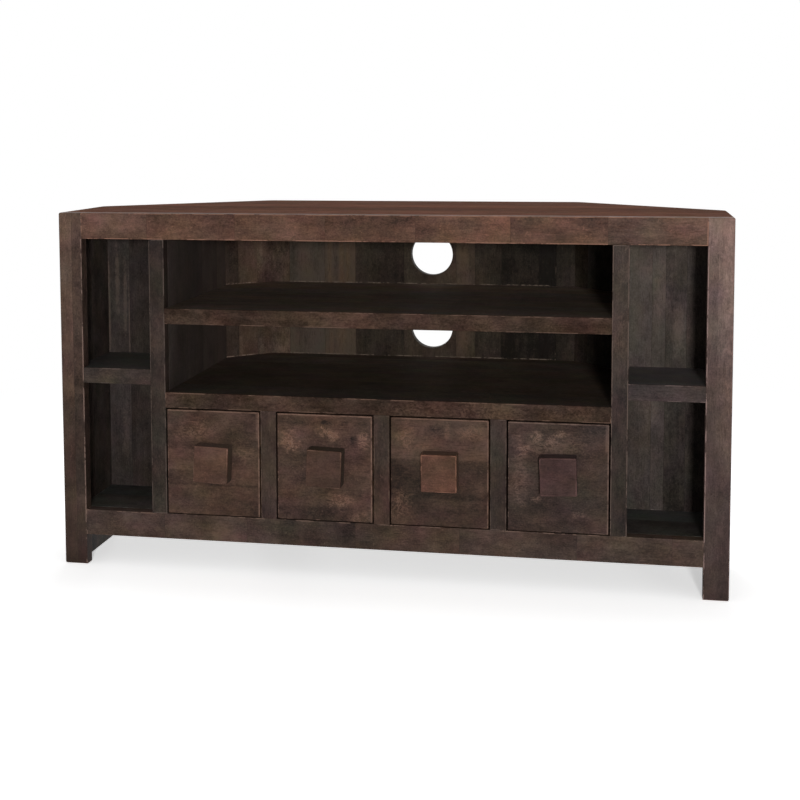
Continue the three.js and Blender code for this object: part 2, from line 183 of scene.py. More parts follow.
# %% Places in the order along, across and through the board
AXIS_ORDER = {"x": (0, 2, 1), "y": (1, 0, 2), "z": (2, 0, 1)}
LOG_LENGTH = 40.0


def grain_place(finish, along, draw):
    """The place on the piece, and the place in the log that it was cut from."""
    place = finish.add("ShaderNodeTexCoord", output="Object")
    parts = finish.split(place)
    ordered = finish.join(*(parts[index] for index in AXIS_ORDER[along]))
    start = tuple(draw.uniform(0.0, LOG_LENGTH) for _ in range(3))
    return place, finish.vector("ADD", ordered, start)


print("grain orders:", AXIS_ORDER)

# %% [markdown]
# ## Figure
#
# Stain brings out many sizes of pattern at once: broad blotches, mottles as wide as a thumb,
# flecks, fine speckles, long fibres and the growth rings. Each is noise, stretched by its own
# number of patches per metre. Together they shift a shade, where 0.5 stands for the body colour
# of the board. A piece asks for more or less contrast, and for more or less fibre.

# %% Patterns: patches per metre along, across and through; detail; roughness; share of contrast
FIGURE = {
    "blotch": ((3.0, 11.0, 11.0), 3.0, 0.55, 1.0),
    "mottle": ((22.0, 30.0, 30.0), 3.0, 0.6, 0.9),
    "fleck": ((110.0, 150.0, 150.0), 2.0, 0.5, 0.4),
    "speckle": ((330.0, 420.0, 420.0), 2.0, 0.6, 0.7),
    "fibre": ((7.0, 190.0, 190.0), 4.0, 0.62, 0.45),
}
RINGS = ((1.4, 9.0, 9.0), 1.5)
RING_COUNT = 11.0
RING_SHARE = 0.08


def board_shade(finish, grain, shade, contrast, fibrous):
    """Adds the figure of the wood to a shade. Returns it with the blotches and fibres in it."""
    fields = {}
    for name, (stretch, detail, roughness, share) in FIGURE.items():
        fields[name] = finish.noise(grain, stretch, detail, roughness)
        strength = share * contrast * (fibrous if name == "fibre" else 1.0)
        shade = (fields[name] - 0.5) * strength + shade
    rings = (finish.noise(grain, *RINGS) * RING_COUNT).math("FRACT")
    shade = (rings - 0.5) * (RING_SHARE * contrast * fibrous) + shade
    return shade, fields["blotch"], fields["fibre"]


print("patterns in the figure:", [*FIGURE, "rings"])

# %% [markdown]
# ## Staves
#
# Wide boards are glued from staves, and makers turn and swap them freely. The stain shows each
# one in its own tone and warmth. A colour ramp with hard steps does this well. It is read
# across the board: its red gives the tone of a stave, its green moves the grain on, so that
# the figure breaks at every glue line, and its blue gives the warmth. Reading the same ramp a
# hair to either side finds the glue lines themselves.

# %% Directions across the boards
ACROSS_X = (1.0, 0.0, 0.0)
ACROSS_Y = (0.0, 1.0, 0.0)
SLANT = math.sqrt(0.5)
ACROSS_SLANT = {"left": (SLANT, SLANT, 0.0), "right": (SLANT, -SLANT, 0.0)}


def reach(node, across):
    """The lowest and the highest place of a piece in a direction."""
    low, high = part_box(node)
    corners = [
        Vector((x, y, z))
        for x in (low.x, high.x) for y in (low.y, high.y) for z in (low.z, high.z)
    ]
    places = [corner.dot(Vector(across)) for corner in corners]
    return min(places), max(places)


print("the top reaches:", [round(place, 3) for place in reach("top_panel", ACROSS_Y)])

# %% Staves drawn at random
WIDTH_SPREAD = (0.7, 1.3)


def glued_staves(node, across, width, contrast):
    """Staves over a whole piece: the direction across them, then start, tone and warmth."""
    draw = random.Random(node + " staves")
    start, high = reach(node, across)
    staves = []
    while start < high:
        tone, warmth = (0.5 + contrast * draw.uniform(-0.5, 0.5) for _ in range(2))
        staves.append((start, tone, warmth))
        start += width * draw.uniform(*WIDTH_SPREAD)
    return across, staves


print("staves in the top:", len(glued_staves("top_panel", ACROSS_Y, 0.085, 0.2)[1]))

# %% Staves as fields of a finish
GLUE_LINE = 0.0006
GLUE_CHANGE = 0.001
STAVE_SHIFT = 9.0


def stave_fields(finish, node, place, across, staves, draw):
    """Tone, warmth, grain shift and glue lines of the staves in a piece."""
    low, high = reach(node, across)
    line = finish.vector("DOT_PRODUCT", place, across, output="Value")
    share = (line - low) / (high - low)
    stops = [
        (max(start - low, 0.0) / (high - low), (tone, draw.random(), warmth, 1.0))
        for start, tone, warmth in staves
    ]
    hair = GLUE_LINE / 2 / (high - low)
    here = finish.ramp(share, stops, "CONSTANT")
    before = finish.ramp(share - hair, stops, "CONSTANT")
    after = finish.ramp(share + hair, stops, "CONSTANT")
    tone, shift, warmth = finish.split(here)
    change = finish.vector("DISTANCE", before, after, output="Value")
    glue = change.math("GREATER_THAN", GLUE_CHANGE)
    return tone - 0.5, warmth - 0.5, shift * STAVE_SHIFT, glue


print("a glue line is", GLUE_LINE * 1000, "mm wide")

# %% [markdown]
# ## Burls and blocks
#
# Where a branch began, the fibres swirl and take little stain, so a burl stays tan, with curls
# about as wide as a finger in it. Each one is a soft oval with a ragged rim. Blocks are short
# lengths joined end to end within a board. Both are listed in shares of the width and height
# of the piece's front, because that is how one reads them off a photograph. Long narrow
# ovals also serve as the streaks in upright panels.
#
# A burl adds light to the shade. How much of that light follows the curls differs: most of it
# on the drawer fronts, and about a third in a streak, which is mostly an even haze. A strength
# below nought makes a dark patch instead, with no bare lines in it.


# %% Places on the front of a piece
def front_place(finish, place, node):
    """Shares of the width and height of a piece's front, from its lower left corner."""
    low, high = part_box(node)
    offset = finish.vector("SUBTRACT", place, tuple(low))
    x, _, z = finish.split(finish.vector("DIVIDE", offset, tuple(high - low)))
    return finish.join(x, z, 0.0)


# %% Burls: ragged ovals
BURL_RIM = (1.4, 0.2)
RAGGED = 2.4


def burl_mask(finish, front, swirl, burls):
    """How much of a burl a spot is: (x, z, half width, half height, strength)."""
    total = 0.0
    for x, z, half_width, half_height, strength in burls:
        offset = finish.vector("SUBTRACT", front, (x, z, 0.0))
        oval = finish.vector("DIVIDE", offset, (half_width, half_height, 1.0))
        distance = finish.vector("LENGTH", oval, output="Value") + (swirl - 0.5) * RAGGED
        total = finish.fade(distance, *BURL_RIM) * strength + total
    return total


# %% Light in a burl. Patterns: patches per metre, detail, roughness, distortion
SWIRL = ((38.0, 50.0, 50.0), 4.0, 0.65, 1.5)
CURL = ((70.0, 95.0, 95.0), 3.0, 0.6, 2.6)
CURL_EDGES = (0.38, 0.62)
CURL_LIGHT = 0.75
PLAIN_GROUND = 0.56
CURLY_GROUND = 0.18
RIDGE_MIDDLE = 0.56
RIDGE_WIDTH = (0.05, 0.01)
RIDGE_STRENGTH = 0.9


def burl_light(finish, mask, curl, curly):
    """The light that burls add to the shade."""
    ground = PLAIN_GROUND + (CURLY_GROUND - PLAIN_GROUND) * curly
    return mask * (finish.fade(curl, *CURL_EDGES) * (CURL_LIGHT * curly) + ground)


def burl_ridges(finish, mask, curl, curly):
    """Thin bare lines along the curls of a burl."""
    ridge = finish.fade((curl - RIDGE_MIDDLE).math("ABSOLUTE"), *RIDGE_WIDTH)
    return ridge * mask * (RIDGE_STRENGTH * curly)


# %% Blocks: rectangles whose rims sway with the grain
BLOCK_RIM = 0.012
BLOCK_SWAY = 0.05


def block_tone(finish, front, swirl, blocks):
    """The tone that rectangles add: (from x, to x, from z, to z, tone)."""
    sway = finish.join(0.0, (swirl - 0.5) * BLOCK_SWAY, 0.0)
    x, z, _ = finish.split(finish.vector("ADD", front, sway))
    total = 0.0
    for x_from, x_to, z_from, z_to, tone in blocks:
        from_x = finish.fade(x, x_from - BLOCK_RIM / 2, x_from + BLOCK_RIM / 2)
        to_x = finish.fade(x, x_to + BLOCK_RIM / 2, x_to - BLOCK_RIM / 2)
        from_z = finish.fade(z, z_from - BLOCK_RIM, z_from + BLOCK_RIM)
        to_z = finish.fade(z, z_to + BLOCK_RIM, z_to - BLOCK_RIM)
        total = from_x * to_x * from_z * to_z * tone + total
    return total


print("burls have curls every", round(1000 / CURL[0][0]), "mm or so")

# %% [markdown]
# ## Worn edges and painted highlights
#
# Hands and dusters rub the lacquer and the stain off the arrises first. On a square board the
# distance to the nearest edge is simple: of the distances to its three pairs of faces the
# smallest is nought on the surface, and the middle one is what counts. The middle of three
# needs only the smaller and the larger of two.
#
# Drawers are paler most along the top and on the right of their fronts, partly rubbed and
# partly painted highlight where those edges face the window. Where a stile meets the top rail
# flush, there is no edge to wear, so wear may stop at the height of that joint. Last, a broken
# pale hairline runs along a panel just above the shelves that meet it.


# %% Distances to edges
def edge_distance(finish, place, node):
    """Distance to the nearest edge of a board."""
    low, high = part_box(node)
    offset = finish.vector("SUBTRACT", place, tuple((low + high) / 2))
    inward = finish.vector("SUBTRACT", tuple((high - low) / 2), finish.vector("ABSOLUTE", offset))
    a, b, c = finish.split(inward)
    return a.math("MINIMUM", b).math("MAXIMUM", a.math("MAXIMUM", b).math("MINIMUM", c))


def rubbed_and_highlit_distance(finish, place, node):
    """Distance to the top and right edges of a piece's front."""
    low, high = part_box(node)
    offset = finish.vector("SUBTRACT", (high.x, low.y, high.z), place)
    x, y, z = finish.split(finish.vector("ABSOLUTE", offset))
    return x.math("MINIMUM", z).math("MAXIMUM", y)


# %% Worn places, and painted highlights on top and right edges
SCUFF = ((22.0, 40.0, 40.0), 5.0, 0.75)
ARRIS = (0.0022, 0.0006)
SCUFF_EDGES = (0.58, 0.66)
WEAR_SPREAD = 0.25
LEAST_WEAR = 0.6
RUBBED_AND_HIGHLIT_LINE = (0.003, 0.001)
RUBBED_AND_HIGHLIT_EDGES = (0.34, 0.56)


def worn_and_highlit_edges(finish, node, place, grain, wear, rubbed_and_highlit, joint_height):
    """How bare a spot is worn, from 0 to 1, with painted highlight on the top and right edges."""
    scuff = finish.noise(grain, *SCUFF)
    patches = finish.fade(scuff, *(edge - WEAR_SPREAD * wear for edge in SCUFF_EDGES))
    worn = finish.fade(edge_distance(finish, place, node), *ARRIS)
    worn = worn * patches * (LEAST_WEAR + (1.0 - LEAST_WEAR) * wear)
    if joint_height:
        worn = worn * finish.split(place)[2].math("LESS_THAN", joint_height)
    # the top and right edges: partly wear, partly painted highlight
    if rubbed_and_highlit:
        line = finish.fade(rubbed_and_highlit_distance(finish, place, node), *RUBBED_AND_HIGHLIT_LINE)
        worn = worn.math("MAXIMUM", line * finish.fade(scuff, *RUBBED_AND_HIGHLIT_EDGES) * rubbed_and_highlit)
    return worn


# %% Pale hairlines on a panel, where shelves meet it
SEAM = 0.002
SHELF_SEAMS = (0.4427, 0.302)
SEAM_GAPS = (0.44, 0.56)
SEAM_STRENGTH = 0.9


def shelf_seams(finish, place, swirl, outward, inner_face):
    """Broken lines just above the shelves, on the side of a panel that faces them."""
    depth = finish.vector("DOT_PRODUCT", place, outward, output="Value")
    on_face = finish.fade(swirl, *SEAM_GAPS) * depth.math("LESS_THAN", inner_face + SEAM)
    height = finish.split(place)[2]
    return [
        height.math("COMPARE", seam, SEAM / 2) * on_face * SEAM_STRENGTH for seam in SHELF_SEAMS
    ]


print("edges are worn over", ARRIS[0] * 1000, "mm")

# %% [markdown]
# ## Tints
#
# Stain over mango drifts between peach, green and lilac greys. A tint near white, which
# multiplies the colour, does this without touching the shade. The same tint serves two more
# ends. A stile is painted lighter towards its top, as painted light for the way the light falls
# on it: its climb says by how much, and a climb below nought makes an upright darker towards its
# top.
#
# Behind the front edge of a piece, behind sets painted light or shade: a cooler and calmer
# colour, lighter than the edge on the shelf floors as painted light, and darker on the sides of
# the knobs as painted shade. It also gets lighter with depth, painted light against the light
# that falls off in a deep bay, while the real floors look evenly dark. At 1 a board has one colour
# all over.

# %% Tints
TINT = (18.0, 24.0, 24.0)
TINT_SWING = 0.35
TINT_MIDDLE = (1.03, 1.0, 0.97)
WARMTH = 0.5


def drifting_tint(finish, grain, contrast, warmth):
    """A tint that drifts in small patches and leans to red where the wood is warm."""
    drift = finish.noise(grain, TINT, output=1)
    swing = TINT_SWING * contrast
    middle = tuple(channel - swing / 2 for channel in TINT_MIDDLE)
    tint = finish.vector("MULTIPLY_ADD", drift, (swing,) * 3, middle)
    if isinstance(warmth, Flow):
        lean = finish.join(warmth * WARMTH, 0.0, warmth * -WARMTH)
        tint = finish.vector("ADD", tint, lean)
    return tint


def painted_light_climb_tint(finish, tint, front, climb):
    """The tint of an upright painted lighter with height, as painted light."""
    strength = (finish.split(front)[1] - 0.5) * climb + 1.0
    return finish.vector("MULTIPLY", tint, finish.join(strength, strength, strength))


# %% Painted light and shade behind a front edge
FRONT_EDGE = (0.001, 0.005)
FRONT_SHARE = 0.55
PAINTED_DEPTH_LIGHT = 2.6
PAINTED_INSIDE_HUE = (0.9, 1.16, 1.25)
INSIDE_CALM = 0.6


def place_behind(finish, place, node):
    """The depth behind a piece's front, and 1 where that is past its front edge."""
    depth = finish.split(place)[1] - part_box(node)[0].y
    return depth, finish.fade(depth, *FRONT_EDGE)


def painted_light_behind_tint(finish, tint, depth, inside, behind):
    """The tint with the painted light and shade behind the front edge in it."""
    lift = depth * PAINTED_DEPTH_LIGHT + FRONT_SHARE
    strengths = (inside * (lift * (behind * hue) - 1.0) + 1.0 for hue in PAINTED_INSIDE_HUE)
    return finish.vector("MULTIPLY", tint, finish.join(*strengths))


# the painted light behind an edge: where it starts and what it gains per metre of depth
print("the stain behind an edge starts at", FRONT_SHARE, "and gains", PAINTED_DEPTH_LIGHT, "per metre")

# %% [markdown]
# ## The stained finish
#
# The recipe adds up a shade: the tone of the stave, the figure, curls, blocks and burls. A ramp
# turns the shade into colour, from the deepest stain through the body colour to the rubbed one,
# and the tint colours it. Pores and glue lines darken the result, and worn edges let the bare
# wood through. The same fields drive the gloss and a very fine relief, so that a pore is dark,
# dull and sunken at once.

# %% The recipe
DEEP = 0.25
RUBBED = 2.0
BARE = 3.6
CURL_RIM = (0.6, 0.74)
CURL_SHARE = 0.3
BURL_WARMTH = 0.3
PORE = ((55.0, 1150.0, 1150.0), 1.0)
PORE_EDGES = (0.6, 0.72)
PORE_DARKNESS = 0.4
GLUE_DARKNESS = 0.5
RELIEF = 0.0004
RELIEF_STRENGTH = 0.5
FIBRE_RELIEF = 0.3
BLOTCH_DULLNESS = 0.2
PORE_DULLNESS = 0.1
WORN_DULLNESS = 0.1


def stained_wood(
    node, body, along="x", staves=None, tone=0.0, climb=0.0, contrast=1.2, fibrous=0.5,
    blocks=(), burls=(), curly=0.3, behind=1.0, wear=0.35, rubbed_and_highlit=0.0, joint_height=0.0,
    seams=(), roughness=0.5, specular=0.08,
):
    """Gives one piece its own stained finish, from a body colour in screen steps."""
    draw = random.Random(node)
    finish = Finish(f"{node}_finish")
    body = screen(*body)
    deep, light_stain, bare = (toned(body, share) for share in (DEEP, RUBBED, BARE))
    place, grain = grain_place(finish, along, draw)
    shade, warmth, glue = 0.5 + tone, 0.0, None
    if staves:
        stave_tone, warmth, shift, glue = stave_fields(finish, node, place, *staves, draw)
        grain = finish.vector("ADD", grain, finish.join(shift, shift, shift))
        shade = stave_tone + shade
    shade, blotch, fibre = board_shade(finish, grain, shade, contrast, fibrous)

    front = front_place(finish, place, node)
    swirl = finish.noise(grain, *SWIRL)
    curl = finish.noise(grain, *CURL)
    shade = finish.fade(curl, *CURL_RIM) * (CURL_SHARE * contrast) + shade
    if blocks:
        shade = shade + block_tone(finish, front, swirl, blocks)
    if burls:
        mask = burl_mask(finish, front, swirl, burls)
        light = burl_light(finish, mask, curl, curly)
        shade = light + shade
        warmth = light * BURL_WARMTH + warmth

    tint = drifting_tint(finish, grain, contrast, warmth)
    # painted light: the upright gets lighter towards its top by its climb
    if climb:
        tint = painted_light_climb_tint(finish, tint, front, climb)
    # painted light behind the front edge: lighter, cooler shelf floors, and painted shade on the
    # knobs' sides
    if behind != 1.0:
        depth, inside = place_behind(finish, place, node)
        shade = (0.5 - shade) * inside * INSIDE_CALM + shade
        tint = painted_light_behind_tint(finish, tint, depth, inside, behind)
    colour = finish.ramp(shade, [(0.0, deep), (0.5, body), (1.0, light_stain)])
    colour = finish.vector("MULTIPLY", colour, tint)

    pores = finish.fade(finish.noise(grain, *PORE), *PORE_EDGES)
    colour = finish.blend(pores * PORE_DARKNESS, colour, deep)
    if glue:
        colour = finish.blend(glue * GLUE_DARKNESS, colour, deep)
    # worn holds the wear of the arrises, and on drawers and knobs a painted highlight along the
    # top and right edges
    worn = worn_and_highlit_edges(finish, node, place, grain, wear, rubbed_and_highlit, joint_height)
    if burls:
        worn = worn.math("MAXIMUM", burl_ridges(finish, mask, curl, curly))
    colour = finish.blend(worn, colour, bare)
    if seams:
        for seam in shelf_seams(finish, place, swirl, *seams):
            colour = finish.blend(seam, colour, bare)

    dull = (blotch - 0.5) * BLOTCH_DULLNESS + pores * PORE_DULLNESS + worn * WORN_DULLNESS
    height = fibre * FIBRE_RELIEF - pores
    bump = {"Strength": RELIEF_STRENGTH, "Distance": RELIEF, "Height": height}
    finish.feed(
        Base_Color=colour,
        Roughness=dull + roughness,
        Specular_IOR_Level=specular,
        Normal=finish.add("ShaderNodeBump", inputs=bump),
    )
    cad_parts[node].material_slots[0].material = finish.material


print("one recipe for every board, from", DEEP, "to", BARE, "times its body colour")

# %% [markdown]
# ## Top and rails
#
# Their grain runs from side to side. The top is the reddest board, because daylight fades it
# first. It is glued from staves that lie one behind the other, and is dull, since things are
# put down on it and scuff the lacquer. The rails are joined from short lengths, which show as
# blocks of lighter and darker wood along them.

# %% Top and rails
TOP_RAIL_STAVES = [
    (-0.51, 0.5, 0.36), (-0.395, 0.56, 0.46), (-0.245, 0.53, 0.52), (-0.095, 0.46, 0.53),
    (0.055, 0.55, 0.58), (0.205, 0.44, 0.55), (0.355, 0.54, 0.36),
]
# a pale line at the right end of the top rail's top edge: partly wear, partly painted highlight
TOP_RAIL_WORN_AND_HIGHLIT_EDGE = ((0.8, 1.0, 0.97, 1.0, 0.5),)
BOTTOM_RAIL_BLOCKS = ((0.22, 0.33, -0.1, 1.1, 0.22), (0.44, 0.56, -0.1, 1.1, -0.2))

stained_wood(
    "top_panel", (98, 67, 54), "x", glued_staves("top_panel", ACROSS_Y, 0.085, 0.2),
    contrast=0.65, fibrous=1.5, roughness=0.8, specular=0.015,
)
stained_wood(
    "front_top_rail", (87, 63, 52), "x", (ACROSS_X, TOP_RAIL_STAVES),
    blocks=TOP_RAIL_WORN_AND_HIGHLIT_EDGE, wear=0.5,
)
stained_wood(
    "front_bottom_rail", (68, 54, 47), "x", glued_staves("front_bottom_rail", ACROSS_X, 0.16, 0.2),
    blocks=BOTTOM_RAIL_BLOCKS,
)
print("staves in the top rail:", len(TOP_RAIL_STAVES))

# %% [markdown]
# ## Shelves and base
#
# The two long shelves and the two short ones get painted light behind their front edges: their
# floors are lighter, cooler and calmer than the edge, standing in for light that hardly reaches
# into the bays. The burls of the long ones are placed on those edges. The base closes the carcass
# below and carries the drawers. It and the rail that stops them hardly show, so they have no
# burls.

# %% Shelves: body colour, painted light behind the edge, and burls on the edge
SHELVES = {
    "deck_board": ((66, 51, 43), 1.6, (
        (0.28, 0.5, 0.06, 0.7, 0.25), (0.58, 0.5, 0.08, 0.7, 0.3),
        (0.74, 0.5, 0.09, 0.7, 0.45), (0.92, 0.5, 0.07, 0.7, 0.3),
    )),
    "centre_shelf": ((62, 48, 41), 3.1, (
        (0.08, 0.5, 0.1, 0.7, 0.2), (0.42, 0.5, 0.1, 0.7, 0.3), (0.72, 0.5, 0.06, 0.7, 0.25),
    )),
}
for node, (body, behind, burls) in SHELVES.items():
    stained_wood(
        node, body, "x", glued_staves(node, ACROSS_Y, 0.07, 0.2),
        burls=burls, curly=0.6, behind=behind, roughness=0.75, specular=0.01,
    )
stained_wood("column_shelf_left", (54, 46, 42), "x", behind=2.4)
stained_wood("column_shelf_right", (60, 50, 48), "x", behind=3.4)
stained_wood("drawer_stop_rail", (70, 58, 50), "x")
stained_wood(
    "base_panel", (62, 61, 58), "x", glued_staves("base_panel", ACROSS_Y, 0.08, 0.2), tone=0.2,
)
print("long shelves:", list(SHELVES))

# %% [markdown]
# ## Stiles, mullions and posts
#
# Here the grain stands upright. The stiles catch the most light and wear, and they are painted
# lighter at the top, as painted light. The left one is glued from two widths, with the lighter and
# warmer one outside.
# The mullions and the posts between the drawers are dark, and each has a tone of its own.

# %% Stiles and mullions: body colour, contrast and climb
RAIL_UNDERSIDE = 0.556
UPRIGHTS = {
    "front_stile_left": ((74, 60, 54), 0.9, 1.35),
    "front_stile_right": ((89, 73, 69), 0.85, 1.25),
    "mullion_left": ((49, 41, 37), 1.2, -0.7),
    "mullion_right": ((58, 48, 43), 1.2, 0.2),
}
UPRIGHT_STAVES = {"front_stile_left": (ACROSS_X, [(-0.55, 0.54, 0.6), (-0.527, 0.4, 0.54)])}
UPRIGHT_BURLS = {
    "front_stile_right": ((0.85, 0.85, 0.35, 0.25, 0.35), (0.8, 0.45, 0.3, 0.2, 0.25)),
    "mullion_left": ((0.5, 0.66, 0.6, 0.1, 0.35), (0.5, 0.93, 0.5, 0.04, 0.3)),
    "mullion_right": ((0.5, 0.66, 0.6, 0.1, 0.45), (0.5, 0.93, 0.5, 0.04, 0.1)),
}
UPRIGHT_BLOCKS = {
    # in the left stile the block from 0.92 up is lighter, painted light that carries its climb on
    # up to the rail
    "front_stile_left": (
        (-0.1, 1.1, 0.22, 0.48, -0.2), (0.55, 1.1, -0.1, 0.2, 0.3), (0.55, 1.1, 0.5, 0.93, -0.1),
        (-0.1, 1.1, 0.92, 1.1, 0.12), (-0.1, 0.55, -0.1, 0.2, 0.12),
    ),
    "front_stile_right": ((-0.1, 0.4, 0.5, 0.93, -0.12),),
}
for node, (body, contrast, climb) in UPRIGHTS.items():
    stained_wood(
        node, body, "z", UPRIGHT_STAVES.get(node), climb=climb, contrast=contrast,
        blocks=UPRIGHT_BLOCKS.get(node, ()), burls=UPRIGHT_BURLS.get(node, ()),
        wear=0.6, joint_height=RAIL_UNDERSIDE,
    )
print("stiles and mullions:", len(UPRIGHTS))

# %% Posts between the drawers, with the guides behind them
POST_BODIES = {1: (57, 46, 40), 2: (60, 47, 40), 3: (53, 43, 38)}
for number, body in POST_BODIES.items():
    stained_wood(f"drawer_post_{number}", body, "z", wear=0.3)
    stained_wood(f"drawer_guide_{number}", (70, 58, 50), "y")
print("posts:", len(POST_BODIES))

# %% [markdown]
# ## Sides and rear posts
#
# The returns at the sides are glued from upright staves like the back. The bent posts in the
# rear corners are the rear feet. Nobody sees them once the cabinet stands in its corner, so
# they are stained but hardly lacquered.

# %% Sides and rear posts
REAR_POST_BODIES = {"left": (84, 69, 60), "right": (44, 38, 33)}
for side, body in REAR_POST_BODIES.items():
    stained_wood(f"rear_post_{side}", body, "z", specular=0.03)
    staves = glued_staves(f"side_return_{side}", ACROSS_Y, 0.07, 0.24)
    stained_wood(f"side_return_{side}", (64, 56, 51), "z", staves)
print("sides:", list(REAR_POST_BODIES))

# %% [markdown]
# ## Panels inside
#
# The back is the liveliest board of all, because nobody sorts the staves that go to the wall.
# The staves that stand out in the photograph are listed one by one: where each starts, its tone
# and its warmth. Those of the other two panels are drawn at random.

# %% Panels laid out one by one: body colour, direction across, and staves
PANELS = {
    # in back_panel the two darkest staves, from 0.155 and 0.225, are painted shadow at the right
    # end of the bay, where the right partition shades it
    "back_panel": ((58, 50, 43), ACROSS_X, [
        (-0.4, 0.88, 0.42), (-0.189, 1.08, 0.58), (-0.128, 0.34, 0.48), (-0.033, 0.55, 0.56),
        (0.067, 0.85, 0.62), (0.103, 0.34, 0.52), (0.155, 0.12, 0.5), (0.225, 0.0, 0.45),
    ]),
    "diagonal_panel_left": ((76, 63, 55), ACROSS_SLANT["left"], [
        (-0.5, 0.5, 0.5), (-0.3, 0.44, 0.42), (-0.225, 0.52, 0.5), (-0.154, 0.22, 0.45),
        (-0.127, 0.68, 0.56), (-0.068, 0.8, 0.66),
    ]),
    "column_back_left": ((56, 49, 46), ACROSS_X, [
        (-0.6, 0.6, 0.42), (-0.488, 0.32, 0.48),
    ]),
    # its last stave, from 0.486, is darker, partly painted shadow beside the right stile
    "column_back_right": ((68, 61, 57), ACROSS_X, [
        (0.3, 0.7, 0.5), (0.43, 0.66, 0.48), (0.452, 0.48, 0.5), (0.486, 0.42, 0.5),
    ]),
    "partition_left": ((76, 67, 63), ACROSS_Y, [
        (-0.3, 0.42, 0.46), (-0.1, 0.44, 0.46), (0.0, 0.6, 0.5), (0.09, 0.72, 0.55),
    ]),
}
PANEL_CONTRAST = 0.9
CALM_PANELS = {"partition_left": 0.5}

# %% Streaks, a darker lower part, and the inner faces that shelves meet
STREAKS = {
    "column_back_left": (
        (0.01, 0.68, 0.012, 0.2, 1.2), (0.12, 0.78, 0.03, 0.12, 0.9),
        (0.22, 0.7, 0.025, 0.14, 0.8), (0.27, 0.6, 0.01, 0.2, 0.9), (0.2, 0.2, 0.05, 0.1, 0.5),
    ),
    "column_back_right": (
        (0.45, 0.75, 0.1, 0.08, 0.5), (0.62, 0.62, 0.08, 0.1, 0.5), (0.3, 0.35, 0.12, 0.06, 0.4),
        (0.4, 0.85, 0.2, 0.05, 0.4),
    ),
    "back_panel": (
        (0.155, 0.85, 0.008, 0.16, 1.0), (0.18, 0.86, 0.012, 0.2, -0.6),
        (0.2, 0.84, 0.01, 0.2, 1.1), (0.225, 0.84, 0.008, 0.16, 1.0),
        (0.16, 0.58, 0.01, 0.12, 1.0), (0.2, 0.58, 0.02, 0.12, 1.0),
        (0.06, 0.85, 0.03, 0.12, 0.5), (0.66, 0.82, 0.02, 0.1, 0.6), (0.66, 0.58, 0.02, 0.1, 0.6),
    ),
}
LOWER_SHADE = {"column_back_right": ((-0.1, 1.1, -0.1, 0.44, -0.18),)}
BACK_INNER_FACE = 0.222
DIAGONAL_START = (0.366, 0.148)
INNER_FACES = {
    "back_panel": ((0.0, 1.0, 0.0), BACK_INNER_FACE),
    "diagonal_panel_left": ((-SLANT, SLANT, 0.0), sum(DIAGONAL_START) * SLANT),
}

# %% The panels' finishes
for node, (body, across, staves) in PANELS.items():
    stained_wood(
        node, body, "z", (across, staves), contrast=CALM_PANELS.get(node, PANEL_CONTRAST),
        fibrous=0.8, blocks=LOWER_SHADE.get(node, ()), burls=STREAKS.get(node, ()), wear=0.1,
        seams=INNER_FACES.get(node, ()), specular=0.03,
    )
diagonal_staves = glued_staves("diagonal_panel_right", ACROSS_SLANT["right"], 0.075, 0.25)
stained_wood("diagonal_panel_right", (56, 49, 43), "z", diagonal_staves)
partition_staves = glued_staves("partition_right", ACROSS_Y, 0.08, 0.25)
stained_wood("partition_right", (44, 39, 35), "z", partition_staves)
print("panels laid out by hand:", list(PANELS))

# %% [markdown]
# ## Drawers
#
# The fronts were cut from figured boards, so each has its own burls, joined blocks and dark
# seams. Tan burls gather in the upper half of the three on the right. The knobs are nearly
# square blocks, each of its own tone, and a little darker and cooler on their sides, which is
# painted shade. The boxes behind are of plain, lightly stained mango, with its fibres in view.

# %% Fronts: body colour
FRONT_BODIES = {1: (69, 53, 45), 2: (73, 56, 48), 3: (66, 50, 42), 4: (65, 52, 46)}

# %% Fronts: burls
FRONT_BURLS = {
    1: ((0.3, 0.8, 0.22, 0.1, 0.4), (0.85, 0.6, 0.12, 0.08, 0.35)),
    2: (
        (0.14, 0.74, 0.1, 0.1, 0.9), (0.49, 0.85, 0.08, 0.05, 0.9), (0.6, 0.79, 0.07, 0.05, 0.8),
        (0.91, 0.78, 0.07, 0.07, 0.8), (0.65, 0.2, 0.14, 0.06, 0.5), (0.9, 0.05, 0.12, 0.06, 0.4),
        (0.8, 0.77, 0.05, 0.05, -0.6), (0.5, 0.93, 0.06, 0.03, -0.6),
    ),
    3: (
        (0.16, 0.81, 0.09, 0.14, 0.8), (0.33, 0.74, 0.07, 0.04, 0.8),
        (0.58, 0.89, 0.03, 0.06, 0.8), (0.83, 0.88, 0.13, 0.06, 0.8),
        (0.1, 0.2, 0.11, 0.14, 0.5), (0.45, 0.9, 0.12, 0.06, -0.4),
    ),
    4: (
        (0.29, 0.86, 0.06, 0.05, 0.9), (0.42, 0.82, 0.06, 0.05, 0.9),
        (0.15, 0.76, 0.06, 0.05, 0.9), (0.535, 0.9, 0.06, 0.03, 0.9),
        (0.1, 0.86, 0.06, 0.03, 0.7), (0.4, 0.78, 0.38, 0.1, 0.35),
        (0.12, 0.47, 0.09, 0.24, 0.4), (0.28, 0.3, 0.05, 0.03, 0.7), (0.7, 0.17, 0.07, 0.04, 0.5),
    ),
}

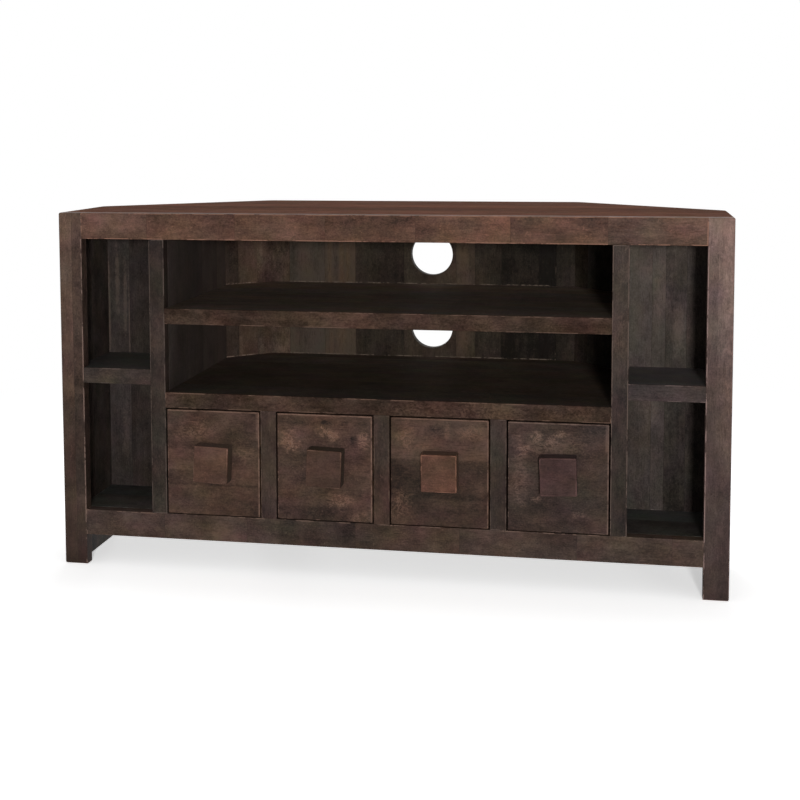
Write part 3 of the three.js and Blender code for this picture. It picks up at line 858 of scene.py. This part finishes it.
# %% Fronts: blocks, seams, and upper right corners, partly rubbed and partly painted highlight
FRONT_BLOCKS = {
    1: (
        (0.0, 1.0, 0.63, 1.1, -0.1), (0.0, 0.29, 0.43, 0.63, 0.15), (0.0, 0.28, 0.33, 0.43, -0.15),
        (0.0, 1.0, 0.28, 0.305, -0.14), (0.0, 1.0, 0.0, 0.28, 0.12), (0.89, 1.0, 0.0, 0.15, -0.14),
        (0.72, 1.0, 0.595, 0.61, 0.2), (0.965, 1.0, 0.75, 1.0, 0.4),
    ),
    2: (
        (0.0, 1.0, 0.62, 0.9, 0.08), (0.0, 0.4, 0.9, 0.97, -0.12), (0.0, 0.8, 0.0, 0.13, -0.18),
        (0.0, 0.25, 0.35, 0.6, 0.06),
    ),
    3: ((0.0, 1.0, 0.62, 1.0, 0.12), (0.0, 1.0, 0.25, 0.62, -0.22)),
    4: (
        (0.0, 1.0, 0.92, 1.0, -0.08), (0.0, 1.0, 0.0, 0.3, -0.05),
        (0.965, 1.0, 0.75, 1.0, 0.5),
    ),
}

# %% Fronts, knobs and boxes
KNOB_BODIES = {1: (81, 59, 50), 2: (65, 48, 40), 3: (90, 63, 51), 4: (64, 46, 44)}
BOX_BODY = (118, 93, 72)
BOX_GRAIN = {"side_left": "y", "side_right": "y", "back": "x", "bottom": "x"}

for number, body in FRONT_BODIES.items():
    stained_wood(
        f"drawer_{number}_front", body, "x", blocks=FRONT_BLOCKS[number],
        burls=FRONT_BURLS[number], curly=1.0, fibrous=0.15, wear=0.2, rubbed_and_highlit=0.9,
    )
    # the knobs get painted shade on their sides, and on their top and right edges a line that is
    # partly wear and partly painted highlight
    stained_wood(
        f"drawer_{number}_knob", KNOB_BODIES[number], "x",
        contrast=0.9, fibrous=0.2, behind=1.5, wear=0.5, rubbed_and_highlit=0.5,
    )
    for part, along in BOX_GRAIN.items():
        stained_wood(
            f"drawer_{number}_{part}", BOX_BODY, along,
            contrast=0.6, fibrous=1.5, wear=0.1, roughness=0.6,
        )
print("drawers:", len(FRONT_BODIES))

# %% [markdown]
# ## Screws
#
# One screw from inside holds each knob. It is bright zinc-plated steel, with duller spots where
# the plating has aged. It is the only metal on the cabinet, so it has a small finish of its own.

# %% Steel screws behind the knobs
ZINC = screen(176, 178, 180)
DULL_ZINC = screen(128, 126, 120)
ZINC_SPOTS = ((900.0, 900.0, 900.0), 3.0, 0.6)
DULL_EDGES = (0.5, 0.7)
DULL_SHARE = 0.6
BRIGHT_ROUGHNESS = 0.3
DULL_ROUGHNESS = 0.25
ZINC_RELIEF = 0.0002
ZINC_RELIEF_STRENGTH = 0.2


def zinc_plated(node):
    """Bright zinc with small duller spots, for screws."""
    finish = Finish(f"{node}_finish")
    place = finish.add("ShaderNodeTexCoord", output="Object")
    spots = finish.noise(place, *ZINC_SPOTS)
    dull = finish.fade(spots, *DULL_EDGES)
    bump = {"Strength": ZINC_RELIEF_STRENGTH, "Distance": ZINC_RELIEF, "Height": spots}
    finish.feed(
        Base_Color=finish.blend(dull * DULL_SHARE, ZINC, DULL_ZINC),
        Metallic=1.0,
        Roughness=dull * DULL_ROUGHNESS + BRIGHT_ROUGHNESS,
        Normal=finish.add("ShaderNodeBump", inputs=bump),
    )
    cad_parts[node].material_slots[0].material = finish.material


for number in FRONT_BODIES:
    zinc_plated(f"drawer_{number}_knob_screw")
print("every piece has a finish")

# %% [markdown]
# ## Floor and sky
#
# Dark furniture is photographed on white paper under an even sky. What the camera sees of
# both, straight, mirrored or through glass, is plain white. What lights the room is a pale grey
# floor and a dim sky, so the ground stays white without more light on the wood. The paper keeps
# half of the real shadow near the cabinet, and loses it further out.

# %% Floor
FLOOR_REACH = 30.0
FLOOR_WHITE = 0.86
SEEN_FLOOR = 3.0
SHADOW_SHARE = 0.5
SHADOW_END = (0.9, 1.8)
WHITE = (1.0, 1.0, 1.0, 1.0)


def seen_directly(finish):
    """1 for what is seen, straight, mirrored or through glass, and 0 for what lights the room."""
    path = finish.add("ShaderNodeLightPath").socket.node.outputs
    rays = ("Is Camera Ray", "Is Glossy Ray", "Is Transmission Ray")
    camera, glossy, through = (Flow(finish, path[name]) for name in rays)
    return camera.math("MAXIMUM", glossy).math("MAXIMUM", through)


bpy.ops.mesh.primitive_plane_add(size=FLOOR_REACH)
floor = bpy.context.object
floor.name = "floor"
paper = Finish("floor_paper")
lighting = paper.add("ShaderNodeBsdfDiffuse", inputs={"Color": (*(FLOOR_WHITE,) * 3, 1.0)})
shadowed = paper.add("ShaderNodeBsdfDiffuse", inputs={"Color": (*(SEEN_FLOOR,) * 3, 1.0)})
lit = paper.add("ShaderNodeEmission", inputs={"Color": WHITE, "Strength": 1.0})
place = paper.add("ShaderNodeTexCoord", output="Object")
distance = paper.vector("LENGTH", place, output="Value")
away = paper.fade(distance, *SHADOW_END) * (1.0 - SHADOW_SHARE) + SHADOW_SHARE
seen = paper.add("ShaderNodeMixShader", inputs={0: away, 1: shadowed, 2: lit})
mixed = {0: seen_directly(paper), 1: lighting, 2: seen}
ground = paper.add("ShaderNodeMixShader", inputs=mixed)
paper.fill(paper.tree.nodes["Material Output"].inputs["Surface"], ground)
floor.data.materials.append(paper.material)
print("floor:", FLOOR_REACH, "m wide")

# %% Sky
SKY_LIGHT = 0.26


class Sky(Finish):
    """The nodes of the world, written in the same way as a finish."""

    def __init__(self, world):
        self.tree = world.node_tree
        self.shader = self.tree.nodes["Background"]


world = bpy.data.worlds.new("studio")
bpy.context.scene.world = world
world.use_nodes = True
sky = Sky(world)
sky.feed(Color=WHITE, Strength=seen_directly(sky) * (1.0 - SKY_LIGHT) + SKY_LIGHT)
print("the sky lights the room at", SKY_LIGHT)

# %% [markdown]
# ## Lamps
#
# The light of a window comes from a little to the right of the front, and from a little above
# the camera. It is far away and small for a soft lamp, so that it reaches into the bays. A wide
# lamp overhead lifts the top. A low one behind shows the back in views from there. It stays
# below the level of the top, because a lamp that grazes dark lacquer turns it pale.

# %% Lamps
MIDDLE = Vector((0.0, -0.21, 0.33))


def hang_lamp(name, azimuth, elevation, distance, size, power):
    """A square lamp facing the middle of the front. Azimuth nought is straight in front."""
    turn, climb = math.radians(azimuth), math.radians(elevation)
    towards = Vector((
        math.sin(turn) * math.cos(climb), -math.cos(turn) * math.cos(climb), math.sin(climb),
    ))
    light = bpy.data.lights.new(name, "AREA")
    light.shape = "SQUARE"
    light.size = size
    light.energy = power
    lamp = bpy.data.objects.new(name, light)
    lamp.location = MIDDLE + towards * distance
    lamp.rotation_euler = towards.to_track_quat("Z", "Y").to_euler()
    bpy.context.collection.objects.link(lamp)


hang_lamp("window", azimuth=11.0, elevation=7.5, distance=5.2, size=0.4, power=150.0)
hang_lamp("overhead", azimuth=180.0, elevation=70.0, distance=2.4, size=1.2, power=14.0)
hang_lamp("behind", azimuth=200.0, elevation=-0.5, distance=4.0, size=0.5, power=36.0)

# %% [markdown]
# ## Camera
#
# The photograph was taken from the right of the cabinet, at about the height of a table. The
# camera's place, turn and lens were fitted to edges and corners of the cabinet. The shift moves
# the picture on the sensor, as a view camera does, so that uprights stay nearly parallel.

# %% Camera
CAMERA_PLACE = (0.3855, -2.3704, 0.7337)
CAMERA_YAW = math.radians(10.99)
CAMERA_PITCH = math.radians(-4.52)
CAMERA_ROLL = math.radians(-0.23)
LEVEL = math.radians(90.0)
LENS = 61.77
SENSOR = 36.0
SHIFT = (0.05, -0.2)

camera = bpy.data.cameras.new("camera")
camera.lens = LENS
camera.sensor_width = SENSOR
camera.shift_x, camera.shift_y = SHIFT
camera_stand = bpy.data.objects.new("camera", camera)
camera_stand.matrix_world = (
    Matrix.Translation(CAMERA_PLACE)
    @ Matrix.Rotation(CAMERA_YAW, 4, "Z")
    @ Matrix.Rotation(LEVEL + CAMERA_PITCH, 4, "X")
    @ Matrix.Rotation(CAMERA_ROLL, 4, "Z")
)
bpy.context.collection.objects.link(camera_stand)
bpy.context.scene.camera = camera_stand
bpy.context.scene.view_settings.view_transform = "Standard"
print("camera at", CAMERA_PLACE)

# %% [markdown]
# ## Sizes, and the end
#
# The finishes add no form, so the box of the dressed cabinet has to equal that of its solids.
